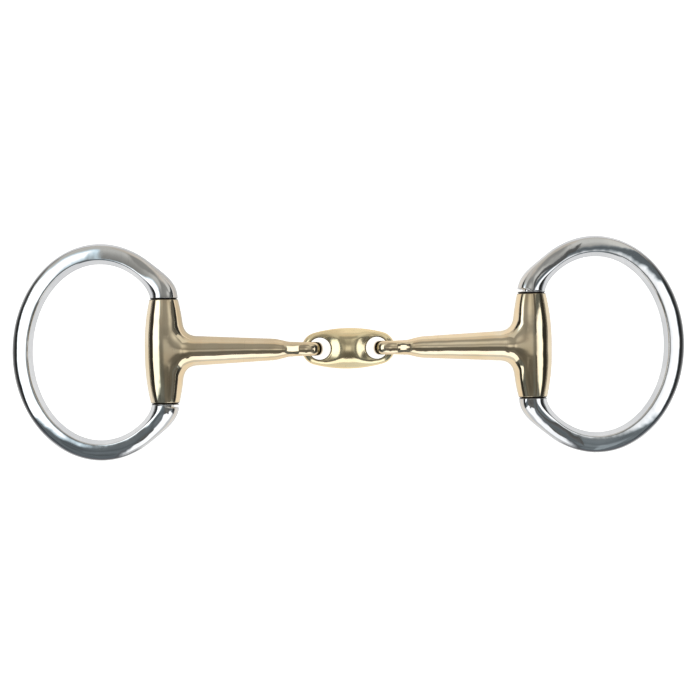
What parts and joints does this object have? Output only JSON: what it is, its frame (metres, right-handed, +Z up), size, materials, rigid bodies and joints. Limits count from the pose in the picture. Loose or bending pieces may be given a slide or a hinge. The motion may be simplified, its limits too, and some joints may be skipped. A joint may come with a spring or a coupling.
{
  "type": "snaffle bit",
  "caption": "Double-jointed eggbutt snaffle bit: two D-shaped cheek rings hinged in barrels on a tapered mouthpiece with an oval centre lozenge.",
  "frame": {"origin": "on the table that the bit lies on, under the middle of the centre lozenge", "axes": "+X across the horse's mouth towards the right ring, +Y along the hinge pins towards the cheekpiece side of the rings, +Z up from the table"},
  "size_m": [0.2548, 0.0818, 0.015],
  "materials": {
    "ring_steel": "mirror-polished stainless steel",
    "pin_steel": "turned stainless steel",
    "mouthpiece_alloy": "polished pale copper alloy"
  },
  "bodies": {
    "centre": {"centre_lozenge": "mouthpiece_alloy"},
    "left_cheek": {"left_cheek_ring": "ring_steel", "left_hinge_pin": "pin_steel"},
    "left_arm": {"left_mouthpiece_arm": "mouthpiece_alloy"},
    "right_cheek": {"right_cheek_ring": "ring_steel", "right_hinge_pin": "pin_steel"},
    "right_arm": {"right_mouthpiece_arm": "mouthpiece_alloy"}
  },
  "joints": [
    {"name": "left_arm_fold", "type": "hinge", "parent": "centre", "child": "left_arm", "pos_m": [-0.01628, 0, 0.0075], "axis": [0, 1, 0], "range_deg": [-38, 38]},
    {"name": "right_arm_fold", "type": "hinge", "parent": "centre", "child": "right_arm", "pos_m": [0.01628, 0, 0.0075], "axis": [0, -1, 0], "range_deg": [-38, 38]},
    {"name": "left_ring_swing", "type": "hinge", "parent": "left_arm", "child": "left_cheek", "pos_m": [-0.0695, 0, 0.0075], "axis": [0, 1, 0], "range_deg": [-160, 160]},
    {"name": "right_ring_swing", "type": "hinge", "parent": "right_arm", "child": "right_cheek", "pos_m": [0.0695, 0, 0.0075], "axis": [0, -1, 0], "range_deg": [-160, 160]}
  ]
}
